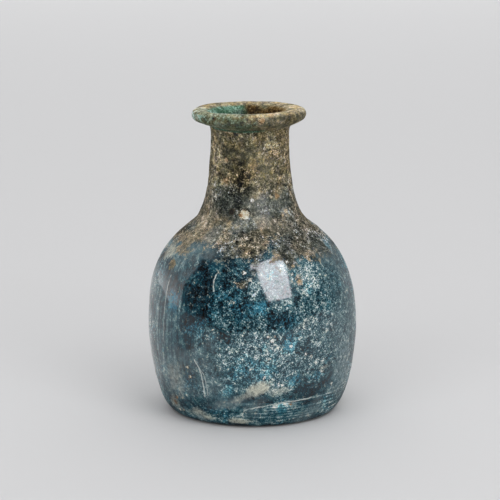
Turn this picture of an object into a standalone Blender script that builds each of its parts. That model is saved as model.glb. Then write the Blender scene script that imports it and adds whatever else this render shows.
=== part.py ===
# A small blown-glass perfume flask: one piece of glass, hollow and open at the mouth.
# Metres, +Z up. The origin is on the ground, under the axis of the body.
from math import cos, hypot, pi, radians, sin, sqrt

import bmesh
import bpy

MM = 0.001

# Body
FOOT_RADIUS = 25.4 * MM  # where the flat resting ring turns up into the heel
RING_WIDTH = 3.2 * MM  # width of the flat ring that the flask rests on
KICK = 1.6 * MM  # how far the underside is pushed up at its centre
BELLY_RADIUS = 34.4 * MM
BELLY_HEIGHT = 26.4 * MM
HEEL_RISE = 1.33  # powers of the curve from the heel to the belly: how it rises
HEEL_FULLNESS = 2.3  # and how full its corner is
DOME_HEIGHT = 41.3 * MM  # the shoulder's dome, belly to the top that it would close at
DOME_POWER = 2.75

# Neck
NECK_RADIUS = 12.75 * MM
NECK_FOOT_RADIUS = 19.3 * MM  # where the dome turns into the neck
FLARE_HEIGHT = 27.5 * MM  # the neck's concave foot
FLARE_FOOT_EASE = 0.07  # how far each end of the flare keeps its direction, as a share
FLARE_NECK_EASE = 0.785  # of its height
NECK_STRAIGHT = 3.7 * MM

# Rim: folded over into a thick round lip
OVERHANG = 6.0 * MM  # the lip's edge beyond the neck
LIP_RADIUS = 2.0 * MM
UNDERSIDE_RISE = 2.7 * MM  # neck to lip, under the rim
UNDERSIDE_SLOPE = 27.0  # degrees
MOUTH_DEPTH = 3.9 * MM  # rim's top to the straight bore
MOUTH_ROUNDING = 2.9 * MM

# Glass
BODY_WALL = 1.9 * MM
NECK_WALL = 1.6 * MM
BASE_WALL = 3.2 * MM

# Unevenness of hand work. Left and right are as seen from the front, which faces -Y.
NECK_LEAN = 0.95 * MM  # the neck's axis stands this far to the left of the body's
LEAN_START = 12.0 * MM  # height from which the body leans over to it
RIM_SHIFT = 0.35 * MM  # the rim's centre, to the left of the neck's
MOUTH_SHIFT = 0.65 * MM  # the mouth's centre, to the left of the rim's
RIM_TILT_FRONT = 1.4  # degrees that the rim rises to the front
RIM_TILT_RIGHT = 0.5  # and to the right
LIP_DROOP = 0.4 * MM  # the fold hangs lower at the front
JUNCTION_LIFT = 0.8 * MM  # and meets the neck higher up on the left

# Fineness of the solid
AROUND = 64
FOOT_STEPS = 4
SIDE_STEPS = 9
DOME_STEPS = 9
FLARE_STEPS = 8
NECK_STEPS = 2
UNDERSIDE_STEPS = 3
LIP_STEPS = 8
MOUTH_STEPS = 5


def spread(count):
    """count + 1 shares from 0 to 1."""
    return [i / count for i in range(count + 1)]


def bezier(start, pull_start, pull_end, end, steps):
    """Points of a cubic curve in the plane of radius and height."""
    points = []
    for t in spread(steps):
        s = 1 - t
        weights = (s**3, 3 * s * s * t, 3 * s * t * t, t**3)
        corners = (start, pull_start, pull_end, end)
        points.append(tuple(sum(w * c[i] for w, c in zip(weights, corners)) for i in (0, 1)))
    return points


def side(foot, belly, floor):
    """From the foot's edge at height floor, round the heel and up to the belly."""
    points = []
    for t in spread(SIDE_STEPS):
        rise = 1 - cos(t * pi / 2)  # closer together round the heel
        bulge = (1 - (1 - rise) ** HEEL_RISE) ** (1 / HEEL_FULLNESS)
        points.append((foot + (belly - foot) * bulge, floor + (BELLY_HEIGHT - floor) * rise))
    return points


def dome_share(belly, neck_foot):
    """How much of the dome's height is left where the neck grows out of it."""
    return (1 - (neck_foot / belly) ** 2) ** (1 / DOME_POWER)


def shoulder_and_flare(belly, dome, neck_foot, neck, flare_top):
    """From the belly over the dome, then by a hollow curve into the straight neck."""
    share = dome_share(belly, neck_foot)
    points = []
    for t in spread(DOME_STEPS):
        up = t * share
        points.append((belly * sqrt(1 - up**DOME_POWER), BELLY_HEIGHT + dome * up))
    foot_r, foot_z = points[-1]
    # The dome's slope where it ends, so that the two curves share a tangent there.
    fall = -belly * belly * DOME_POWER * share ** (DOME_POWER - 1) / (2 * neck_foot * dome)
    foot_pull = FLARE_FOOT_EASE * FLARE_HEIGHT / hypot(fall, 1)
    pull_start = (foot_r + foot_pull * fall, foot_z + foot_pull)
    pull_end = (neck, flare_top - FLARE_NECK_EASE * FLARE_HEIGHT)
    flare = bezier((foot_r, foot_z), pull_start, pull_end, (neck, flare_top), FLARE_STEPS)
    return points + flare[1:]


# Heights that follow from the sizes above.
NECK_FOOT_HEIGHT = BELLY_HEIGHT + DOME_HEIGHT * dome_share(BELLY_RADIUS, NECK_FOOT_RADIUS)
FLARE_TOP = NECK_FOOT_HEIGHT + FLARE_HEIGHT
NECK_TOP = FLARE_TOP + NECK_STRAIGHT
LIP_START = radians(UNDERSIDE_SLOPE - 90)
LIP_HEIGHT = NECK_TOP + UNDERSIDE_RISE - LIP_RADIUS * sin(LIP_START)
LIP_CENTRE = NECK_RADIUS + OVERHANG - LIP_RADIUS
TOP = LIP_HEIGHT + LIP_RADIUS


def underside():
    """From the centre of the pushed-up underside to the edge of the flat ring."""
    ring = FOOT_RADIUS - RING_WIDTH
    points = [(ring * t, KICK * cos(t * pi / 2) ** 2) for t in spread(FOOT_STEPS)]
    return points[:-1] + [(ring, 0.0)]


def rim():
    """From the neck's top under the rim, round the lip, and down into the mouth."""
    start = (
        LIP_CENTRE + LIP_RADIUS * cos(LIP_START),
        LIP_HEIGHT + LIP_RADIUS * sin(LIP_START),
    )
    slope = radians(UNDERSIDE_SLOPE)
    reach = (start[0] - NECK_RADIUS) / 2
    pull_end = (start[0] - reach * cos(slope), start[1] - reach * sin(slope))
    pull_start = (NECK_RADIUS, NECK_TOP + UNDERSIDE_RISE / 3)
    under = bezier((NECK_RADIUS, NECK_TOP), pull_start, pull_end, start, UNDERSIDE_STEPS)
    lip = []
    for t in spread(LIP_STEPS):
        turn = LIP_START + t * (pi / 2 - LIP_START)
        lip.append((LIP_CENTRE + LIP_RADIUS * cos(turn), LIP_HEIGHT + LIP_RADIUS * sin(turn)))
    bore = NECK_RADIUS - NECK_WALL
    mouth = bezier(
        (LIP_CENTRE, TOP),
        (LIP_CENTRE - MOUTH_ROUNDING, TOP),
        (bore, TOP - MOUTH_DEPTH + MOUTH_ROUNDING),
        (bore, TOP - MOUTH_DEPTH),
        MOUTH_STEPS,
    )
    return under + lip[1:] + mouth[1:]


def inside():
    """From the bore down to the centre of the floor."""
    bore = NECK_RADIUS - NECK_WALL
    belly = BELLY_RADIUS - BODY_WALL
    hollow = shoulder_and_flare(
        belly, DOME_HEIGHT - BODY_WALL, NECK_FOOT_RADIUS - BODY_WALL, bore, FLARE_TOP
    )
    wall = side(FOOT_RADIUS - BODY_WALL, belly, BASE_WALL)
    floor_edge = wall[0]
    floor = [
        (floor_edge[0] * t, BASE_WALL + KICK * cos(t * pi / 2) ** 2)
        for t in spread(FOOT_STEPS)
    ]
    upward = floor[:-1] + wall[:-1] + hollow
    return upward[::-1]


def outline():
    """The whole section of the wall, from the axis under the base to the axis inside."""
    outer_side = side(FOOT_RADIUS, BELLY_RADIUS, 0.0)
    outer_top = shoulder_and_flare(
        BELLY_RADIUS, DOME_HEIGHT, NECK_FOOT_RADIUS, NECK_RADIUS, FLARE_TOP
    )
    straight = [
        (NECK_RADIUS, FLARE_TOP + NECK_STRAIGHT * t) for t in spread(NECK_STEPS)[1:-1]
    ]
    return underside() + outer_side[:-1] + outer_top + straight + rim() + inside()


def smooth_step(low, high, value):
    t = min(max((value - low) / (high - low), 0.0), 1.0)
    return t * t * (3 - 2 * t)


def unevenness(point):
    """Moves a point of the turned shape to where the hand-made one has it."""
    x, y, z = point
    radius = hypot(x, y)
    frontness = max(-y / radius, 0.0) if radius > MM else 0.0
    leftness = max(-x / radius, 0.0) if radius > MM else 0.0
    up_neck = smooth_step(LEAN_START, FLARE_TOP, z)
    at_rim = smooth_step(NECK_TOP, NECK_TOP + UNDERSIDE_RISE, z)
    beyond_neck = smooth_step(NECK_RADIUS, LIP_CENTRE, radius)
    at_mouth = smooth_step(NECK_TOP, TOP, z) * (1 - beyond_neck)
    under_lip = smooth_step(LIP_HEIGHT, LIP_HEIGHT - LIP_RADIUS, z) * beyond_neck * at_rim
    junction = smooth_step(FLARE_TOP, NECK_TOP, z) * smooth_step(LIP_HEIGHT, NECK_TOP, z)
    point.x -= NECK_LEAN * up_neck + RIM_SHIFT * at_rim + MOUTH_SHIFT * at_mouth
    point.z -= at_rim * y * sin(radians(RIM_TILT_FRONT))
    point.z += at_rim * x * sin(radians(RIM_TILT_RIGHT))
    point.z -= LIP_DROOP * under_lip * frontness**2
    point.z += JUNCTION_LIFT * junction * (1 - beyond_neck) * leftness**2


def make_glass():
    material = bpy.data.materials.new("weathered_glass")
    material.use_nodes = True
    shader = material.node_tree.nodes["Principled BSDF"]
    shader.inputs["Base Color"].default_value = (0.055, 0.13, 0.15, 1.0)
    shader.inputs["Metallic"].default_value = 0.0
    shader.inputs["Roughness"].default_value = 0.35
    return material


def make_flask():
    shape = bmesh.new()
    points = [shape.verts.new((radius, 0.0, height)) for radius, height in outline()]
    lines = [shape.edges.new(pair) for pair in zip(points, points[1:])]
    bmesh.ops.spin(
        shape,
        geom=points + lines,
        cent=(0, 0, 0),
        axis=(0, 0, 1),
        angle=2 * pi,
        steps=AROUND,
        use_merge=True,
    )
    bmesh.ops.remove_doubles(shape, verts=shape.verts, dist=MM / 1000)
    for vertex in shape.verts:
        unevenness(vertex.co)
    bmesh.ops.recalc_face_normals(shape, faces=shape.faces)
    mesh = bpy.data.meshes.new("flask")
    shape.to_mesh(mesh)
    shape.free()
    mesh.shade_smooth()
    mesh.materials.append(make_glass())
    flask = bpy.data.objects.new("flask", mesh)
    bpy.context.scene.collection.objects.link(flask)


def main():
    for thing in list(bpy.data.objects):
        bpy.data.objects.remove(thing)
    make_flask()


main()
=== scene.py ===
from math import cos, pi, radians, sin

import bmesh
import bpy
import numpy as np
from mathutils import Matrix, Vector, noise
from mathutils.bvhtree import BVHTree


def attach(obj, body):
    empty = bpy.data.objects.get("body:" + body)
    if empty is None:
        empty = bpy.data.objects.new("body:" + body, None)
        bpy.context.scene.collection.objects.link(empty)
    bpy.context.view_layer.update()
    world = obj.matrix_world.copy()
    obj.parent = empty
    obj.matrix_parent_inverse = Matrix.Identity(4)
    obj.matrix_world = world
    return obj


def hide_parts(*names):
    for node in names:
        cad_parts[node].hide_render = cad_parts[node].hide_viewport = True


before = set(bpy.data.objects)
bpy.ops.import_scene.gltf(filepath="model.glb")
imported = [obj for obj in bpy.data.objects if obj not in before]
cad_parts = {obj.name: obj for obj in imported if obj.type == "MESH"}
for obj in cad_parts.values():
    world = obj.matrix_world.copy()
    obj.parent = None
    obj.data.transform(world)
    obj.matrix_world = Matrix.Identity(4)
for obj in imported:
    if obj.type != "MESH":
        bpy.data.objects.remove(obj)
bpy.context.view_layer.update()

MM = 0.001

# The camera
LENS = 176.4
SENSOR = 36.0
CAMERA_PLACE = (-0.0009, -0.7878, 0.2231)
CAMERA_PITCH = 12.2  # degrees downwards

# The flask's mesh
FINENESS = 2  # how many times each of the solid's faces is quartered
CLEAR_OF_FLASK = 0.1  # metres from the axis, well outside the glass
SHOULDER_EDGE = 57.0  # mm up, where the crust ends and the glossy body begins
RAGGEDNESS = 0.35  # how far a patch's outline wanders, as a share of its size

# The finish, in mm
BUMP_DEPTH = 0.24
WANDER_REACH = 0.6  # how far scratches and crumbs stray from a clean outline
WANDER_SCALE = 0.9


def look_from_front():
    """The camera, at the photograph's viewing angle."""
    lens = bpy.data.cameras.new("camera")
    lens.lens = LENS
    lens.sensor_width = SENSOR
    lens.clip_start = 0.01
    camera = bpy.data.objects.new("camera", lens)
    camera.location = CAMERA_PLACE
    camera.rotation_euler = (radians(90 - CAMERA_PITCH), 0, 0)
    bpy.context.scene.collection.objects.link(camera)
    bpy.context.scene.camera = camera


def colour(red, green, blue):
    """A colour as seen on a screen, 0 to 255, as the material sockets take it."""
    linear = []
    for part in (red, green, blue):
        share = part / 255
        linear.append(share / 12.92 if share <= 0.04045 else ((share + 0.055) / 1.055) ** 2.4)
    return (*linear, 1.0)


class Value:
    """A number that varies over a surface. Sums on it add Math nodes."""

    def __init__(self, paint, socket):
        self.paint = paint
        self.socket = socket

    def __add__(self, other):
        return self.paint.math("ADD", self, other)

    def __sub__(self, other):
        return self.paint.math("SUBTRACT", self, other)

    def __rsub__(self, other):
        return self.paint.math("SUBTRACT", other, self)

    def __mul__(self, other):
        return self.paint.math("MULTIPLY", self, other)

    __radd__ = __add__
    __rmul__ = __mul__


class Paint:
    """Builds the nodes of one material or sky."""

    def __init__(self, owner):
        owner.use_nodes = True
        self.tree = owner.node_tree
        self.tree.nodes.clear()

    def node(self, kind, sockets=None, **settings):
        """Any node: its settings first, then the values or links of its sockets."""
        made = self.tree.nodes.new(kind)
        for place, shade in settings.pop("stops", ()):
            stop = made.color_ramp.elements.new(place)
            stop.color = shade
        for name, value in settings.items():
            setattr(made, name, value)
        for name, value in (sockets or {}).items():
            socket = made.inputs[name]
            if isinstance(value, Value):
                value = value.socket
            if isinstance(value, bpy.types.NodeSocket):
                self.tree.links.new(value, socket)
            else:
                socket.default_value = value
        return made

    def math(self, operation, *values, clamp=False):
        """A Math node on numbers and values."""
        sockets = dict(enumerate(values))
        made = self.node("ShaderNodeMath", sockets, operation=operation, use_clamp=clamp)
        return Value(self, made.outputs[0])

    def vector(self, operation, *values, **sockets):
        """Vector Math. A distance or a dot product comes back as a number."""
        made = self.node(
            "ShaderNodeVectorMath", {**dict(enumerate(values)), **sockets}, operation=operation
        )
        if operation in ("DISTANCE", "DOT_PRODUCT"):
            return Value(self, made.outputs["Value"])
        return made.outputs["Vector"]

    def mix(self, below, above, share, blend="MIX"):
        """One colour over another."""
        sockets = {0: share, 6: below, 7: above}
        made = self.node("ShaderNodeMix", sockets, data_type="RGBA", blend_type=blend)
        return made.outputs[2]

    def tint(self, below, shade, share):
        """A colour stained by a transparent one, whose parts may be above 1."""
        return self.mix(below, (*shade, 1.0), share, "MULTIPLY")

    def ramp(self, value, stops):
        """Colours along a value, from its place and red, green and blue on a screen."""
        stops = [(place, colour(*shade)) for place, *shade in stops]
        return self.node("ShaderNodeValToRGB", {"Fac": value}, stops=stops).outputs["Color"]

    def over(self, value, edge, width):
        """0 below the edge and 1 above it, over that width."""
        return self.math("MULTIPLY_ADD", value, 1 / width, 0.5 - edge / width, clamp=True)

    def grain(self, places, scale, detail=2.0, roughness=0.6):
        """Random cloud, mostly 0.3 to 0.7, with blots of about 1 / scale mm."""
        made = self.node(
            "ShaderNodeTexNoise",
            {"Vector": places, "Scale": scale, "Detail": detail, "Roughness": roughness},
        )
        return Value(self, made.outputs["Fac"])

    def field(self, name):
        """What was laid on the mesh under that name."""
        made = self.node("ShaderNodeAttribute", attribute_name=name)
        return Value(self, made.outputs["Fac"])


def smooth(value, low, high):
    """An eased step from 0 at low to 1 at high, which may be the smaller one."""
    share = np.clip((value - low) / (high - low), 0, 1)
    return share * share * (3 - 2 * share)


# Broad patches laid on the front: how much, degrees round from the front,
# height, half width and half height in mm, and turn in degrees.
PATCHES = {
    "bloom": [
        (0.14, -32, 45.0, 5.3, 11.5, 0), (0.08, -26, 44.2, 2.4, 7.0, 0),
        (0.3, -9, 42.6, 7.0, 7.0, 0), (0.25, 0, 35.8, 5.1, 2.6, 0), (0.2, 15, 36.5, 5.8, 2.9, 0),
        (0.38, -9, 53.1, 6.4, 4.6, 0), (0.76, 37, 49.0, 4.6, 4.0, 0),
        (0.2, -16, 50.9, 2.0, 6.4, 0), (0.24, -21, 54.5, 3.9, 2.7, 0),
        (0.5, 53, 45.4, 5.8, 8.4, 0), (0.54, 41, 34.8, 7.9, 7.0, 0),
        (0.56, -5, 27.0, 10.8, 6.5, 0), (0.62, 20, 27.5, 7.2, 6.5, 0),
        (0.54, 39, 24.0, 7.8, 6.0, 0), (0.46, 54, 15.5, 6.5, 4.5, 0),
        (0.22, 31, 12.4, 10.2, 1.9, 9), (0.3, -7, 10.5, 7.0, 1.5, 8),
        (0.52, -16, 15.5, 7.1, 4.2, 0), (0.56, 30, 4.9, 13.8, 3.3, 6),
        (0.16, -54, 45.0, 6.0, 8.0, 0), (0.46, -57, 30.0, 6.0, 11.0, 0),
        (0.54, -45, 17.7, 7.0, 7.1, 0), (0.34, -34, 7.0, 8.0, 3.6, 0),
        (0.26, -42, 25.4, 2.2, 8.6, 0), (0.34, -36, 27.7, 3.1, 5.3, 0),
        (0.5, 65, 29.3, 5.7, 20.8, 0), (0.72, 16, 13.8, 4.3, 3.0, 0), (0.76, 17, 8.2, 4.8, 1.7, 0),
        (0.64, 19, 18.6, 2.7, 2.0, 0), (0.22, -38, 16.6, 2.9, 3.6, 0),
        (0.64, 2, 47.0, 1.9, 2.9, 0), (0.2, -5, 41.5, 2.2, 2.2, 0), (0.5, 3, 37.1, 2.2, 1.6, 0),
        (0.3, -26, 29.4, 3.3, 4.6, 0), (0.34, -28, 22.3, 2.7, 2.7, 0),
        (0.64, 20, 41.6, 2.0, 2.2, 0), (0.36, 19, 32.1, 2.7, 2.2, 0),
        (0.08, 18, 37.0, 2.4, 2.0, 0), (0.5, 28, 36.4, 2.4, 2.0, 0),
        (0.08, -33, 53.1, 2.6, 2.4, 0), (0.66, 61, 21.4, 4.8, 9.0, 0),
        (0.62, 36, 21.6, 3.0, 2.4, 0), (0.38, 27, 27.1, 2.6, 2.2, 0),
        (0.54, -23, 53.3, 2.2, 2.0, 0), (0.86, 21, 53.0, 2.2, 2.2, 0),
        (0.64, -15, 13.4, 4.2, 2.3, 0), (0.24, 4, 9.6, 4.0, 1.3, 8),
        (0.24, -44, 52.4, 2.7, 2.6, 0), (0.16, -16, 32.0, 3.2, 2.2, 0),
        (0.62, 60, 14.0, 4.5, 3.5, 0), (0.66, -60, 55.0, 3.0, 2.5, 0),
        (0.63, 28, 37.5, 2.6, 3.4, 0), (0.53, 49, 36.0, 2.6, 3.2, 0),
        (0.42, -28, 30.4, 2.4, 2.2, 0), (0.62, -20, 16.3, 2.6, 2.0, 0),
        (0.55, 12, 31.2, 2.4, 2.0, 0), (0.68, 68, 12.1, 3.5, 3.0, 0),
        (0.62, -54, 52.0, 3.0, 2.5, 0), (0.4, -66, 46.0, 2.5, 3.0, 0),
    ],
    "blue": [
        (1.0, 4, 41.0, 3.2, 2.6, 0), (0.9, 0, 19.7, 3.2, 2.8, 0), (1.0, -49, 40.2, 3.3, 4.2, 0),
        (0.6, 35, 45.4, 3.8, 2.6, 0), (1.0, 20, 28.5, 3.0, 2.9, 0), (0.8, -4, 20.3, 8.9, 4.1, 0),
        (0.5, 51, 45.6, 3.8, 5.2, 0), (0.9, 23, 16.2, 3.1, 2.5, 0), (0.7, -31, 50.3, 4.9, 9.6, 0),
        (0.8, 15, 36.5, 5.8, 2.9, 0), (0.0, 39, 32.3, 6.3, 5.8, 0), (0.0, -37, 61.3, 2.5, 4.1, 0),
        (0.1, -54, 52.9, 8.0, 4.5, 0), (1.0, 6, 18.6, 1.6, 1.0, 0), (0.1, -36, 57.5, 5.0, 3.4, 0),
    ],
    "haze": [
        (0.9, -50, 53.4, 6.7, 5.0, 0), (0.2, -59, 36.7, 5.3, 20.9, 0),
        (0.8, -47, 14.6, 5.7, 5.2, 0), (0.5, 68, 28.9, 5.5, 20.0, 0), (0.6, 69, 52.3, 6.3, 8.2, 0),
        (0.9, -38, 60.5, 3.3, 4.4, 0), (0.8, 62, 55.4, 6.9, 5.3, 0), (0.4, 58, 46.0, 7.0, 7.0, 0),
        (0.5, -25, 15.0, 4.9, 5.0, 0), (1.0, -14, 9.0, 6.5, 1.6, 20),
        (0.0, -32, 45.0, 5.0, 12.8, 0), (0.0, 10, 36.0, 20.0, 16.0, 0),
        (0.2, -38, 16.6, 3.3, 3.6, 0), (0.25, -44, 52.4, 2.9, 2.5, 0),
        (0.9, -46, 56.4, 5.5, 2.6, 0), (0.0, -33, 53.0, 3.2, 2.6, 0), (0.7, 62, 18.8, 4.9, 7.3, 0),
        (0.6, -57, 51.4, 3.0, 2.2, 0), (0.85, -38, 56.6, 4.6, 2.6, 0),
    ],
    "specks": [
        (1.0, -2, 43.6, 10.9, 12.8, 0), (1.0, 9, 26.0, 16.0, 11.7, 0),
        (0.9, 36, 45.3, 8.7, 10.9, 0), (0.7, -36, 17.0, 7.0, 7.0, 0),
        (0.1, -48, 55.4, 8.0, 5.0, 0), (0.1, -51, 34.4, 9.8, 30.0, 0),
        (0.6, 61, 33.1, 5.0, 20.0, 0), (0.1, -13, 9.3, 9.7, 3.3, 8), (0.1, 25, 6.6, 15.0, 3.4, 8),
        (0.9, 40, 30.5, 7.9, 9.7, 0), (0.3, -32, 45.0, 3.6, 10.8, 0),
    ],
    "crust": [
        (1, -61, 59.8, 7.1, 6.1, 0), (1, -23, 59.7, 4.3, 4.7, 0), (1, 39, 58.4, 9.8, 5.5, 0),
        (0.9, -7, 57.5, 3.5, 2.5, 0), (0.9, -60, 51.1, 1.7, 1.6, 0), (0.7, 29, 48.8, 2.5, 2.0, 0),
        (0.7, -6, 48.1, 1.9, 1.6, 0), (0.1, -30, 57.0, 3.5, 3.0, 0), (0.0, -33, 53.5, 2.8, 2.4, 0),
        (0.7, 27, 53.0, 1.4, 0.7, 0), (0.85, -25, 58.4, 2.7, 1.8, 0),
        (0.3, -41, 57.4, 5.5, 3.0, 0),
    ],
    "chalk": [
        (1, 5, 15.2, 3.2, 1.8, 18), (1, 3, 14.0, 3.6, 1.7, 30), (0.44, -6, 11.4, 3.6, 1.0, 25),
        (0.55, 14, 13.4, 2.6, 1.1, 15), (0.5, 17, 13.4, 2.3, 1.3, 20), (0.8, -9, 2.7, 3.9, 1.0, 0),
        (0.7, -30, 3.0, 2.0, 1.0, 0), (0.24, 29, 35.6, 3.2, 1.3, 30), (0.5, -36, 4.4, 3.4, 1.8, 0),
        (0.3, -50, 14.6, 4.5, 5.0, 0), (0.45, -56, 5.7, 2.7, 2.8, 0),
        (0.66, -72, 54.5, 3.9, 3.3, 0), (0.45, 44, 19.8, 3.6, 0.7, 12),
    ],
    "light": [
        (0.52, -37, 89.6, 5.5, 7.1, 0), (0.36, -21, 81.1, 2.9, 7.1, 0),
        (0.26, -28, 71.7, 6.6, 3.9, 0), (0.62, 30, 88.6, 5.2, 5.8, 0),
        (0.8, 64, 90.0, 3.4, 6.5, 0), (0.58, 66, 82.1, 3.8, 11.4, 0),
        (0.52, 34, 78.8, 4.4, 3.9, 0), (0.6, 17, 70.0, 4.3, 3.5, 0),
        (0.66, -53, 74.6, 2.7, 3.2, 0), (0.62, -57, 58.9, 6.7, 6.3, 0),
        (0.68, -30, 62.4, 4.7, 3.9, 0), (0.52, -4, 59.3, 4.5, 4.5, 0),
        (0.44, -1, 62.7, 2.6, 2.9, 0), (0.46, 41, 58.9, 8.6, 4.9, 0),
        (0.8, -42, 84.3, 1.2, 1.0, 0), (0.8, 45, 67.7, 1.7, 1.7, 0), (0.7, 35, 73.0, 1.6, 1.6, 0),
        (0.6, -55, 63.4, 4.4, 3.4, 0), (0.16, -12, 78.3, 2.4, 2.6, 0),
        (0.7, -62, 87.3, 3.2, 7.0, 0), (0.36, -34, 88.6, 2.6, 4.4, 0),
        (0.64, 6, 65.3, 2.9, 2.0, 0), (0.58, 41, 64.4, 3.5, 2.2, 0), (0.78, 32, 91.5, 3.0, 2.4, 0),
        (0.74, -61, 63.7, 3.9, 2.7, 0), (0.64, 61, 77.0, 3.9, 2.6, 0),
        (0.3, -31, 71.1, 6.0, 4.2, 0), (0.66, -8, 65.3, 2.7, 2.0, 0),
        (0.64, -61, 60.0, 4.2, 3.6, 0), (0.6, -51, 72.7, 2.7, 2.3, 0),
        (0.44, 16, 57.6, 2.7, 2.0, 0), (0.6, -42, 92.4, 5.5, 3.0, 0),
        (0.56, -8, 92.4, 5.0, 2.6, 0), (0.6, 44, 93.4, 5.0, 2.6, 0), (0.6, 14, 79.0, 4.4, 4.0, 0),
        (0.54, -35, 78.0, 2.4, 2.4, 0), (0.62, 3, 71.8, 2.2, 2.0, 0),
        (0.56, -60, 51.1, 2.4, 2.2, 0), (0.5, -33, 93.0, 2.2, 1.8, 0),
    ],
    "warm": [
        (1, 33, 73.4, 1.9, 1.6, 0), (1, -37, 77.9, 1.1, 1.0, 0), (0.9, -33, 63.9, 4.2, 3.5, 0),
        (0.35, -61, 59.2, 6.3, 5.9, 0), (0.7, -8, 58.1, 2.9, 2.9, 0), (0.9, 84, 88.0, 6.1, 7.2, 0),
        (0.9, -15, 79.3, 2.6, 3.9, 0), (0.0, -27, 71.5, 5.9, 3.9, 0), (0.0, 17, 70.0, 3.9, 3.5, 0),
        (0.1, -36, 61.1, 2.8, 4.0, 0), (0.1, 43, 59.6, 7.3, 4.4, 0), (0.6, -60, 51.1, 2.6, 2.4, 0),
    ],
    "cool": [
        (1, 17, 70.3, 3.9, 3.9, 0), (1, -29, 71.1, 6.8, 4.4, 0), (0.8, -36, 61.1, 2.8, 4.5, 0),
        (0.8, -50, 74.0, 2.6, 3.2, 0), (1, 62, 56.4, 7.9, 6.3, 0), (0.5, 37, 64.0, 5.1, 2.9, 0),
    ],
}

# Fine pale lines: scratches, and low on the front a painted highlight along the edge of a flaked
# film. Points as degrees round and height in mm, and half the line's width.
SCRATCHES_AND_HIGHLIGHT_LINE = [
    ([(-56.7, 48.3), (-57.2, 44.1), (-57.0, 38.6), (-57.0, 28.7), (-59.6, 18.2)], 0.14),
    ([(-64.6, 42.6), (-64.1, 32.8), (-65.0, 22.5)], 0.1),
    ([(-21.7, 51.9), (-22.8, 50.7), (-23.6, 49.1), (-23.6, 47.6), (-22.9, 45.9)], 0.2),
    ([(-33.5, 22.9), (-30.7, 20.4), (-29.4, 17.1), (-28.9, 13.6), (-28.9, 10.5)], 0.18),
    ([(-31.2, 21.0), (-27.8, 17.9), (-26.7, 13.8), (-26.7, 11.0)], 0.1),
    # A painted highlight along the edge of a flaked film, low on the front.
    (
        [(-6.0, 4.3), (-6.2, 5.8), (-4.9, 6.9), (-1.7, 7.5), (4.2, 8.0), (11.2, 8.8),
         (19.1, 9.2), (28.6, 9.4), (37.0, 9.6)],
        0.2,
    ),
]


class Skin:
    """The flask's points and what is laid on them, as a set of fields from 0 to 1."""

    def __init__(self, mesh, tree):
        count = len(mesh.vertices)
        places = np.empty(count * 3, np.float32)
        mesh.vertices.foreach_get("co", places)
        self.places = places.reshape(-1, 3).astype(float) / MM
        self.normals = np.array([tuple(v.normal) for v in mesh.vertices])
        self.tree = tree
        x, y, z = self.places.T
        self.height = z
        self.radius = np.hypot(x, y)
        self.angle = np.degrees(np.arctan2(x, -y))
        self.fields = {}

    def cloud(self, size, seed, octaves=3):
        """Soft random blots of about that size in mm, mostly -0.5 to 0.5."""
        start = Vector((seed * 17.3, seed * 7.1, seed * 3.7))
        return np.array(
            [noise.fractal(Vector(p) / size + start, 1.0, 2.0, octaves) for p in self.places]
        )

    def spot(self, angle, height):
        """The place on the outside at that angle and height, in mm, and its outward direction."""
        outward = Vector((sin(radians(angle)), -cos(radians(angle)), 0))
        start = outward * CLEAR_OF_FLASK + Vector((0, 0, height * MM))
        place, normal, _, _ = self.tree.ray_cast(start, -outward)
        return place / MM, normal

    def patch(self, name, value, angle, height, wide, tall, turn, ragged):
        """Draws a field towards a value inside a ragged oval."""
        place, normal = self.spot(angle, height)
        across = Vector((cos(radians(angle)), sin(radians(angle)), 0))
        up = normal.cross(across)
        if up.z < 0:
            up = -up
        away = self.places - np.array(place)
        u = away @ np.array(across)
        v = away @ np.array(up)
        c, s = cos(radians(turn)), sin(radians(turn))
        u, v = u * c + v * s, v * c - u * s
        facing = self.normals @ np.array(normal) > 0
        distance = np.hypot(u / wide, v / tall) + RAGGEDNESS * ragged
        share = (1 - smooth(distance, 0.4, 1.6)) * facing
        field = self.fields[name]
        self.fields[name] = field + (value - field) * share


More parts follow.
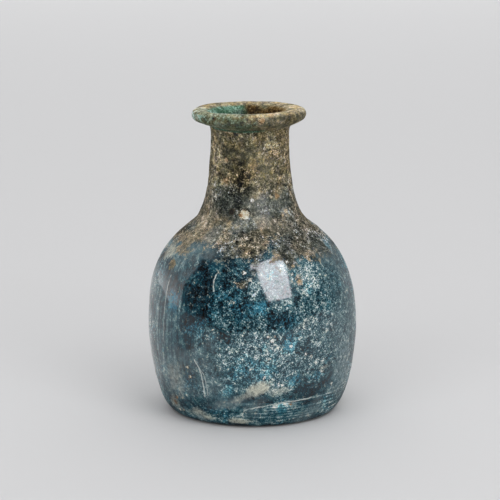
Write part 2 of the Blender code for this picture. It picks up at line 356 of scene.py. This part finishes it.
def weather(skin):
    """Lays crust, bloom, haze and stains over the whole flask, then the patches on the front, and
    painted shade along the foot.

    Steps run over mm of height, or over degrees from the front, positive to the right.
    """
    height, angle = skin.height, skin.angle
    wide_blots = skin.cloud(14, 1)
    blots = skin.cloud(6, 2)
    small_blots = skin.cloud(2.5, 3)
    other_blots = skin.cloud(9, 4)
    hidden = smooth(np.abs(angle), 60, 80)
    fields = skin.fields
    edge = SHOULDER_EDGE + 5 * blots + 3 * small_blots
    fields["crust"] = smooth(height, edge - 7, edge + 6)
    fields["bloom"] = np.clip(0.5 + 0.3 * wide_blots + 0.2 * blots, 0, 1)
    fields["blue"] = 0.8 * smooth(other_blots + 0.5 * small_blots, 0.05, 0.4)
    fields["haze"] = smooth(skin.cloud(11, 5), 0.1, 0.5) * 0.6
    fields["chalk"] = smooth(skin.cloud(5, 6), 0.42, 0.5) * smooth(height, 24, 12) * hidden
    fields["light"] = np.clip(0.51 + 0.16 * blots + 0.14 * small_blots, 0, 1)
    fields["warm"] = 0.35 * smooth(height, 72, 80) + 0.5 * smooth(skin.cloud(4, 7), 0.0, 0.4)
    fields["cool"] = smooth(skin.cloud(8, 8), 0.0, 0.4) * smooth(height, 80, 72)
    fields["specks"] = np.clip(0.55 + 0.7 * other_blots + 0.3 * small_blots, 0.1, 1)
    side = smooth(-angle, 25, 40) * smooth(-angle, 175, 140)
    fields["streak"] = side * smooth(height, 60, 52) * smooth(height, 8, 20)
    fields["ripple"] = smooth(height, 12, 9) * smooth(height, 0.5, 2)
    fields["ripple"] *= smooth(np.abs(angle + 60), 35, 60)
    fields["green"] = np.zeros(len(height))
    fields["amber"] = np.zeros(len(height))
    matt_shoulder = smooth(height, 44, 51) * smooth(np.abs(angle), 30, 48)
    fields["coat"] = (0.15 + 0.85 * smooth(height, 4, 17)) * (1 - 0.9 * matt_shoulder)
    fields["coat"] *= 1 - 0.5 * smooth(np.abs(angle - 90), 45, 30)
    ragged = small_blots + 0.6 * blots
    for name, rows in PATCHES.items():
        for value, *place in rows:
            skin.patch(name, value, *place, ragged)
    # Painted shade along the foot: the glass is darkened up to this height.
    foot_shade_top = 2.0 - 0.02 * angle.clip(-50, 40)  # mm up, higher on the left
    fields["bloom"] *= 0.3 + 0.7 * smooth(height + small_blots, 0.4, foot_shade_top)
    weather_rim(skin, blots, small_blots)


def near(angle, middle, half, soft):
    """1 within so many degrees of a direction, and 0 beyond the soft edge."""
    away = np.abs((angle - middle + 180) % 360 - 180)
    return 1 - smooth(away, half - soft / 2, half + soft / 2)


def weather_rim(skin, blots, small_blots):
    """The lip is olive below and beige on top, and bare green or amber in places, with painted
    shade under it and inside the mouth, a painted highlight on its left end and a painted green
    glow inside the mouth.
    """
    fields = skin.fields
    angle = skin.angle + 25 * blots
    height = skin.height
    inwards = -(skin.normals[:, :2] * skin.places[:, :2]).sum(1) / skin.radius.clip(1)
    lip = smooth(height, 94.6, 95.6)
    top = lip * smooth(skin.normals[:, 2], 0.35, 0.8)
    under = smooth(height, 93.2, 94.4) * smooth(-skin.normals[:, 2], 0.2, 0.6)
    mouth = smooth(height, 70, 86) * smooth(inwards, 0.2, 0.7)
    left_end = near(angle, -92, 22, 20) * lip * (1 - 0.8 * top)
    front_left = near(angle, -32, 52, 30) * under * (1 - lip)
    # Painted shade under the lip, away from the mouth.
    fields["light"] += 0.05 * lip + 0.14 * top - 0.06 * under * (1 - mouth)
    # Painted highlight on the lip's left end, the top paler on the right, and painted shade under
    # the lip at the front left.
    fields["light"] += 0.28 * left_end + 0.08 * top * near(angle, 60, 60, 30) - 0.06 * front_left
    fields["green"] = np.maximum(1.1 * left_end, 0.7 * front_left)
    fields["green"] = np.maximum(fields["green"], 0.42 * lip * near(angle, -50, 45, 30))
    # Inside the mouth on the left: the glass's own green, brightened as a painted glow of light
    # shining through the wall.
    fields["green"] = np.maximum(fields["green"], 0.8 * mouth * near(angle, -125, 68, 60))
    fields["amber"] = mouth * near(angle, 116, 58, 60)
    # Painted shade inside the mouth.
    fields["light"] -= 0.2 * mouth
    fields["specks"] *= 1 - 0.85 * lip
    fields["coat"] = np.maximum(fields["coat"], left_end)


def relief(skin):
    """How far each point stands out, in mm: the glass is uneven and the crust lumpy."""
    gentle = 0.2 * skin.cloud(16, 11) + 0.03 * skin.cloud(5, 12) + 0.035 * skin.cloud(2.4, 15)
    lumps = 0.14 * skin.cloud(1.9, 13, 4) + 0.12 * skin.cloud(4.5, 14)
    below_lip = 1 - 0.8 * smooth(skin.height, 93, 95.5)
    lumps = skin.fields["crust"] * lumps * below_lip
    chalk = 0.12 * skin.fields["chalk"]
    above_foot = smooth(skin.height, 0.3, 3.0)
    return (gentle + lumps + chalk) * above_foot


def flask_glass():
    """The flask: the solid's own shape, made smooth and fine, then weathered."""
    shape = bmesh.new()
    shape.from_mesh(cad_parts["flask"].data)
    bmesh.ops.remove_doubles(shape, verts=shape.verts, dist=0.01 * MM)
    bmesh.ops.join_triangles(
        shape,
        faces=shape.faces,
        angle_face_threshold=radians(40),
        angle_shape_threshold=radians(80),
    )
    mesh = bpy.data.meshes.new("perfume_flask")
    shape.to_mesh(mesh)
    shape.free()
    flask = bpy.data.objects.new("perfume_flask", mesh)
    bpy.context.scene.collection.objects.link(flask)
    finer = flask.modifiers.new("finer", "SUBSURF")
    finer.levels = finer.render_levels = FINENESS
    bpy.context.view_layer.update()
    seen = bpy.context.evaluated_depsgraph_get()
    tree = BVHTree.FromObject(flask, seen)
    flask.data = bpy.data.meshes.new_from_object(flask.evaluated_get(seen))
    flask.modifiers.clear()
    skin = Skin(flask.data, tree)
    weather(skin)
    places = skin.places + skin.normals * relief(skin)[:, None]
    flask.data.vertices.foreach_set("co", (places * MM).astype(np.float32).ravel())
    for name, values in skin.fields.items():
        made = flask.data.attributes.new(name, "FLOAT", "POINT")
        made.data.foreach_set("value", values.astype(np.float32))
    flask.data.shade_smooth()
    flask.data.update()
    flask.data.materials.clear()
    flask.data.materials.append(weathered_glass(skin))
    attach(flask, "root")
    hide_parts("flask")
    return flask


# Tones of each finish, from dark to pale: place, red, green and blue on a screen
GLASS_TONES = [
    (0.001, 1, 13, 21),
    (0.2, 3, 37, 50),
    (0.4, 15, 66, 81),
    (0.55, 50, 94, 104),
    (0.7, 98, 130, 138),
    (0.85, 146, 171, 175),
    (0.999, 208, 222, 221),
]
CRUST_TONES = [
    (0.001, 14, 16, 15),
    (0.2, 40, 40, 34),
    (0.4, 77, 76, 63),
    (0.55, 109, 106, 90),
    (0.7, 148, 140, 120),
    (0.85, 194, 181, 156),
    (0.999, 238, 228, 206),
]
GREEN_TONES = [
    (0.001, 5, 26, 22),
    (0.25, 20, 58, 46),
    (0.5, 72, 108, 84),
    (0.75, 128, 172, 152),
    (0.999, 210, 235, 225),
]
AMBER_TONES = [
    (0.001, 22, 14, 4),
    (0.3, 62, 44, 16),
    (0.55, 112, 88, 48),
    (0.8, 160, 138, 96),
    (0.999, 205, 190, 160),
]
CRUMB_TONES = [
    (0.001, 8, 14, 22),
    (0.3, 70, 62, 52),
    (0.5, 150, 108, 68),
    (0.7, 200, 172, 132),
    (0.85, 228, 218, 192),
    (0.999, 244, 248, 244),
]

# Single colours, as red, green and blue on a screen
GLINT = (86, 184, 206)
AZURE = (62, 150, 180)
HAZE_GREY = (124, 138, 141)
DIRTY_CHALK = (158, 160, 146)
CLEAN_CHALK = (226, 224, 206)
SCRATCH_AND_HIGHLIGHT_PALE = (214, 220, 214)
FLOOR_PALE = (203, 203, 204)
BACKDROP_PALE = (208, 208, 208)

# Stains: what they multiply red, green and blue by
BLUE_STAIN = (0.55, 1.08, 1.14)
CREAM_STAIN = (1.1, 1.04, 0.86)
COOL_STAIN = (0.64, 0.82, 1.06)
OLIVE_STAIN = (0.94, 1.0, 0.78)
MAUVE_STAIN = (1.04, 0.97, 1.03)
WARM_STAIN = (1.13, 0.98, 0.8)

# Crumbs and chips: degrees round, height and radius in mm, and tone from dark to pale.
CRUMBS = [
    (-10.3, 67.8, 1.65, 0.84), (-14.4, 67.6, 0.55, 0.45), (-25.2, 68.4, 0.8, 0.12),
    (45.6, 68.0, 0.8, 0.8), (54.3, 68.2, 0.5, 0.86), (38.9, 67.0, 0.5, 0.7),
    (13.6, 87.0, 0.5, 0.86), (16.8, 88.5, 0.4, 0.86), (-39.9, 84.7, 0.8, 0.66),
    (-38.4, 78.2, 0.8, 0.62), (-1.0, 72.3, 0.55, 0.95), (34.8, 73.0, 0.9, 0.58),
    (25.1, 73.0, 0.5, 0.8), (-58.6, 76.3, 0.5, 0.95), (-52.9, 72.6, 0.6, 0.86),
    (6.6, 70.7, 0.3, 0.95), (-5.4, 51.7, 0.6, 0.95), (-1.7, 49.7, 0.55, 0.95),
    (23.2, 54.4, 0.4, 0.93), (26.8, 53.0, 0.5, 0.72), (25.0, 50.7, 0.5, 0.95),
    (28.5, 48.5, 0.7, 0.68), (-38.8, 20.0, 0.45, 0.8), (-37.4, 16.7, 0.5, 0.8),
    (6.1, 18.2, 0.5, 0.97), (41.8, 18.3, 0.4, 0.95), (52.2, 12.9, 0.45, 0.95),
    (33.0, 24.3, 0.4, 0.95), (29.8, 25.2, 0.35, 0.95), (20.7, 28.4, 0.45, 0.95),
    (-81.3, 52.4, 0.75, 0.02), (-21.9, 51.6, 0.3, 0.9), (15.6, 52.9, 0.45, 0.1),
    (12.1, 54.7, 0.35, 0.3), (-53.4, 3.5, 0.5, 0.9), (-49.0, 3.7, 0.4, 0.9),
    (-55.0, 5.9, 0.9, 0.38), (-52.0, 8.0, 0.5, 0.4), (23.0, 8.4, 0.5, 0.5), (8.1, 31.9, 0.4, 0.93),
    (10.2, 30.5, 0.5, 0.95), (11.8, 31.8, 0.35, 0.93), (9.1, 98.6, 0.9, 0.62),
    (-39.5, 98.8, 0.5, 0.3),
]


class Grains:
    """Random clouds around 0 that the finish is mixed from, fine ones and broad ones."""

    def __init__(self, paint, places):
        # Turned, so that no row of the random grid lies along the neck. Scales are in 1 / mm.
        askew = paint.node(
            "ShaderNodeVectorRotate",
            {"Vector": places, "Rotation": (0.6, 0.9, 0.4)},
            rotation_type="EULER_XYZ",
        ).outputs["Vector"]

        def elsewhere(x, y, z, start=askew):
            return paint.vector("ADD", start, (x, y, z))

        self.dust = paint.grain(askew, 2.6, 2.0, 0.6) - 0.5
        self.grit = paint.grain(elsewhere(31, 7, 3), 0.9, 3.0, 0.65) - 0.5
        self.lumps = paint.grain(elsewhere(13.2, 17, 19, places), 0.5, 3.0, 0.6) - 0.5
        self.hue = paint.grain(elsewhere(5, 41, 13), 1.5, 2.0, 0.6) - 0.5
        self.other_hue = paint.grain(elsewhere(71, 3, 23), 1.5, 2.0, 0.6) - 0.5
        self.blots = paint.grain(elsewhere(3, 11, 53, places), 0.3, 3.0, 0.6) - 0.5
        upright = paint.vector("MULTIPLY", places, (0.8, 0.8, 0.045))
        self.strands = paint.grain(upright, 1.0, 4.0, 0.65) - 0.5
        level = paint.vector("MULTIPLY", places, (0.07, 0.07, 1.7))
        self.rings = paint.grain(level, 1.0, 3.0, 0.6) - 0.5


def glossy_body(paint, grains):
    """Deep glass under pale specks, stained blue and cream, with haze over it."""
    dust, grit, lumps = grains.dust, grains.grit, grains.lumps
    blue = paint.field("blue")
    streak = paint.field("streak")
    rough = 0.3 + paint.field("specks") * 0.7
    tone = paint.field("bloom") + (dust * 2.4 + grit * 2.0) * rough + grains.blots * 0.6
    tone = tone + lumps * 0.9
    tone = tone + streak * grains.strands * 1.5 + paint.field("ripple") * grains.rings * 1.8
    body = paint.ramp(tone, GLASS_TONES)
    bluer = paint.over(blue * 0.7 + grains.hue * 1.2 - lumps * 1.4, 0.55, 0.4)
    body = paint.tint(body, BLUE_STAIN, bluer)
    creamy = paint.over(grains.other_hue + lumps, 0.08, 0.15) * (1 - bluer)
    body = paint.tint(body, CREAM_STAIN, creamy * 0.55)
    glint = paint.over(grains.other_hue * 1.2 + dust + blue * 0.25, 0.6, 0.1) * rough
    body = paint.mix(body, colour(*GLINT), glint * 0.7)
    azure = paint.over(blue + grains.hue * 1.2 + grit * 0.8, 0.98, 0.35)
    body = paint.mix(body, colour(*AZURE), azure * 0.6)
    thick = 0.35 + 0.65 * paint.over(grit + grains.strands * streak, 0.0, 0.5)
    return paint.mix(body, colour(*HAZE_GREY), paint.field("haze") * thick * 0.75)


def crust_colour(paint, grains, places, lively):
    """The crust on neck and shoulder, more olive higher up."""
    dust, grit, lumps = grains.dust, grains.grit, grains.lumps
    hue, other_hue, blots = grains.hue, grains.other_hue, grains.blots
    tone = paint.field("light") + (dust * 1.6 + grit * 1.6 + lumps) * lively + blots * 0.4
    bright = paint.over(hue * 1.3 + dust * 0.8 + paint.field("specks") * 0.3, 0.42, 0.12)
    earth = paint.ramp(tone + bright * 0.28, CRUST_TONES)
    cooled = paint.field("cool") * (0.5 + 0.5 * paint.over(hue, -0.06, 0.3))
    earth = paint.tint(earth, COOL_STAIN, cooled)
    up = paint.over(paint.vector("DOT_PRODUCT", places, (0, 0, 1)), 74.0, 10.0)
    olive = paint.over(lumps + other_hue * 0.8, 0.0, 0.3) * (up * 0.8 + 0.2)
    earth = paint.tint(earth, OLIVE_STAIN, olive)
    earth = paint.tint(earth, MAUVE_STAIN, paint.over(blots + hue * 0.8, 0.05, 0.2))
    warmed = paint.over(paint.field("warm") * 0.8 + other_hue * 1.6 + lumps * 0.8, 0.45, 0.4)
    return paint.tint(earth, WARM_STAIN, warmed)


def bare_at_rim(paint, grains, below):
    """Bare green and amber glass, the green inside the mouth partly a painted glow, and how far the
    green is free of crust.
    """
    dust, grit = grains.dust, grains.grit
    tone = paint.field("light") + dust * 0.9 + grit * 1.1
    cleaned = paint.over(paint.field("green") + dust * 0.5 + grit * 0.8, 0.5, 0.45)
    look = paint.mix(below, paint.ramp(tone, GREEN_TONES), cleaned)
    ambered = paint.over(paint.field("amber") + dust * 0.6 + grit * 0.9, 0.5, 0.8)
    return paint.mix(look, paint.ramp(tone, AMBER_TONES), ambered), cleaned


def chalk_over(paint, grains, below):
    """Cream patches, and how thick they are."""
    dust, grit = grains.dust, grains.grit
    chalked = paint.over(paint.field("chalk") + dust * 0.6 + grit * 0.9, 0.5, 0.8)
    clean = paint.over(dust + grit * 0.6, 0.0, 0.5)
    chalky = paint.mix(colour(*DIRTY_CHALK), colour(*CLEAN_CHALK), clean)
    return paint.mix(below, chalky, chalked * 0.85), chalked


def scratches_and_highlight_over(paint, grains, below, bent, skin):
    """The fine pale lines, scratches and a painted highlight line, broken here and there."""
    pale_lines = None
    for points, width in SCRATCHES_AND_HIGHLIGHT_LINE:
        mark = stroke(paint, bent, [skin.spot(*p)[0] for p in points], width)
        pale_lines = mark if pale_lines is None else paint.math("MAXIMUM", pale_lines, mark)
    pale_lines = pale_lines * paint.over(grains.grit + grains.dust, -0.2, 0.2)
    return paint.mix(below, colour(*SCRATCH_AND_HIGHLIGHT_PALE), pale_lines * 0.9)


def crumbs_over(paint, grains, below, bent, skin):
    """The crumbs and chips, and where they cover the glass."""
    dust, grit = grains.dust, grains.grit
    shade, covered = 0.5, None
    for angle, at, radius, tone in CRUMBS:
        away = paint.vector("DISTANCE", bent, tuple(skin.spot(angle, at)[0]))
        crumb = paint.over(radius - away + dust * 2.0 + grit * 1.6, 0.0, 0.3)
        shade = crumb * (tone - shade) + shade
        covered = crumb if covered is None else paint.math("MAXIMUM", covered, crumb)
    shades = paint.ramp(shade + dust * 0.7 + grit * 0.5, CRUMB_TONES)
    return paint.mix(below, shades, covered * 0.9), covered


def weathered_glass(skin):
    """The finish: glossy body, crust, bare rim with its painted glow, chalk, scratches with one
    painted highlight line, and crumbs, in that order.
    """
    material = bpy.data.materials.new("weathered_glass")
    paint = Paint(material)
    held = paint.node("ShaderNodeTexCoord").outputs["Object"]
    places = paint.vector("SCALE", held, Scale=1 / MM)
    wander = paint.node(
        "ShaderNodeTexNoise", {"Vector": places, "Scale": WANDER_SCALE, "Detail": 2.0}
    )
    wander = paint.vector("SUBTRACT", wander.outputs["Color"], (0.5, 0.5, 0.5))
    wander = paint.vector("SCALE", wander, Scale=WANDER_REACH)
    bent = paint.vector("ADD", places, wander)
    grains = Grains(paint, places)
    dust, grit, lumps = grains.dust, grains.grit, grains.lumps

    lively = 0.45 + paint.field("specks") * 0.75
    crusted = paint.over(paint.field("crust") + dust * 1.1 + grit * 1.5 + lumps * 1.6, 0.5, 0.3)
    earth = crust_colour(paint, grains, places, lively)
    look = paint.mix(glossy_body(paint, grains), earth, crusted)
    look, cleaned = bare_at_rim(paint, grains, look)
    look, chalked = chalk_over(paint, grains, look)
    look = scratches_and_highlight_over(paint, grains, look, bent, skin)
    look, covered = crumbs_over(paint, grains, look, bent, skin)

    height = crusted * lively * (grit * 2.3 + dust * 1.7) + dust * 0.8 + grit * 0.5
    height = height + chalked * 0.4 + covered
    bumps = paint.node("ShaderNodeBump", {"Distance": BUMP_DEPTH * MM, "Height": height})
    dirty = paint.over(grains.hue + dust + grit + lumps, 0.17, 0.12)
    coat = (1 - crusted * (1 - cleaned) * 0.9) * (1 - chalked * 0.6) * (1 - dirty * 0.7)
    shader = paint.node(
        "ShaderNodeBsdfPrincipled",
        {
            "Base Color": look,
            "Roughness": 0.5 + crusted * 0.35,
            "Specular IOR Level": 0.08,
            "Coat Weight": coat * paint.field("coat"),
            "Coat Roughness": 0.09,
            "Coat IOR": 1.5,
            "Normal": bumps.outputs["Normal"],
        },
    )
    paint.node("ShaderNodeOutputMaterial", {"Surface": shader.outputs["BSDF"]})
    return material


def stroke(paint, places, points, width):
    """1 on a line through the points, which are in mm, and 0 away from it."""
    nearest = None
    for start, end in zip(points, points[1:]):
        run = end - start
        away = paint.vector("SUBTRACT", places, tuple(start))
        along = paint.vector("DOT_PRODUCT", away, tuple(run / run.length_squared))
        along = paint.math("MULTIPLY", along, 1.0, clamp=True)
        reached = paint.vector("SCALE", tuple(run), Scale=along)
        distance = paint.vector("DISTANCE", away, reached)
        nearest = distance if nearest is None else paint.math("MINIMUM", nearest, distance)
    return paint.over(0 - nearest, -width, 0.25)


# The studio, in metres
FLOOR_REACH = 5.0
MIRRORED_EDGE = -0.25  # the glass mirrors the floor up to here, and darkness from there on
KEY_CENTRE = Vector((0.5554, -0.8912, 0.8888))
KEY_SHINES = (-0.4177, 0.6596, -0.6248)
KEY_UP = (-0.3456, 0.5206, 0.7807)
KEY_SIZE = (0.784, 1.179)
KEY_AIM = Vector((0.007, -0.03, 0.0495))
KEY_BRIGHTNESS = 2.45  # as the floor and the crust see it
KEY_MIRRORED_BRIGHTNESS = 11.6  # as the gloss mirrors it
KEY_MIRRORED_SHARE = 0.98  # of the way out from the aim, so that the two don't overlap


def panel(name, centre, shines, up, size, brightness):
    """A flat soft light that shines one way. The camera doesn't see it."""
    light = bpy.data.lights.new(name, "AREA")
    light.shape = "RECTANGLE"
    light.size, light.size_y = size
    light.energy = brightness * pi * size[0] * size[1]
    lamp = bpy.data.objects.new(name, light)
    back = -Vector(shines).normalized()
    across = Vector(up).cross(back).normalized()
    turned = Matrix((across, back.cross(across), back)).transposed().to_4x4()
    lamp.matrix_world = Matrix.Translation(centre) @ turned
    lamp.visible_camera = False
    bpy.context.scene.collection.objects.link(lamp)
    return lamp


def lay_floor():
    """The pale floor, in two parts that look alike and that the glass mirrors differently."""
    material = bpy.data.materials.new("pale_floor")
    paint = Paint(material)
    shader = paint.node(
        "ShaderNodeBsdfPrincipled",
        {
            "Base Color": colour(*FLOOR_PALE),
            "Roughness": 0.7,
            "Specular IOR Level": 0.2,
            "Emission Color": (1.0, 1.0, 1.0, 1.0),
            "Emission Strength": 0.02,
        },
    )
    paint.node("ShaderNodeOutputMaterial", {"Surface": shader.outputs["BSDF"]})
    parts = (("floor", MIRRORED_EDGE, FLOOR_REACH), ("floor_in_front", -FLOOR_REACH, MIRRORED_EDGE))
    for name, low, high in parts:
        shape = bmesh.new()
        bmesh.ops.create_grid(shape, x_segments=1, y_segments=1, size=1.0)
        reach = (high - low) / 2
        bmesh.ops.scale(shape, vec=(FLOOR_REACH, reach, 1.0), verts=shape.verts)
        bmesh.ops.translate(shape, vec=(0, low + reach, 0), verts=shape.verts)
        mesh = bpy.data.meshes.new(name)
        shape.to_mesh(mesh)
        shape.free()
        mesh.materials.append(material)
        floor = bpy.data.objects.new(name, mesh)
        bpy.context.scene.collection.objects.link(floor)
        floor.visible_glossy = name == "floor"


def hang_lights():
    """A soft key from the front right, a fill, and pale panels round the flask and over it."""
    key = panel("key_softbox", KEY_CENTRE, KEY_SHINES, KEY_UP, KEY_SIZE, KEY_BRIGHTNESS)
    key.visible_glossy = False
    nearer = KEY_AIM + (KEY_CENTRE - KEY_AIM) * KEY_MIRRORED_SHARE
    mirrored = panel(
        "key_softbox_mirrored", nearer, KEY_SHINES, KEY_UP, KEY_SIZE, KEY_MIRRORED_BRIGHTNESS
    )
    mirrored.visible_diffuse = False
    mirrored.data.color = (1.0, 0.96, 0.99)
    fill = panel("front_fill", (-0.9, -1.9, 1.2), (0.9, 1.9, -1.15), (0, 0, 1), (2.0, 1.6), 2.2)
    fill.visible_glossy = False
    wall = panel("left_wall", (-1.3, 0.85, 0.55), (1, 0, 0), (0, 0, 1), (1.96, 1.1), 2.0)
    wall.visible_diffuse = False
    panel("rear_wall", (0.3, 1.6, 0.5), (0, -1, 0), (0, 0, 1), (3.2, 1.0), 1.0)
    top = panel("overhead", (0.2, 0.9, 2.0), (0, 0, -1), (0, 1, 0), (4.0, 4.6), 1.15)
    top.visible_glossy = False


def surround():
    """A pale backdrop, which leaves the light and the reflections to the panels."""
    world = bpy.data.worlds.new("studio")
    paint = Paint(world)
    seen = paint.node("ShaderNodeBackground", {"Color": colour(*BACKDROP_PALE)})
    around = paint.node("ShaderNodeBackground", {"Color": (0.02, 0.02, 0.022, 1)})
    straight = paint.node("ShaderNodeLightPath").outputs["Is Camera Ray"]
    mixed = paint.node(
        "ShaderNodeMixShader",
        {0: straight, 1: around.outputs[0], 2: seen.outputs[0]},
    )
    paint.node("ShaderNodeOutputWorld", {"Surface": mixed.outputs[0]})
    bpy.context.scene.world = world
    bpy.context.scene.view_settings.view_transform = "Standard"


look_from_front()
lay_floor()
hang_lights()
surround()
flask_glass()
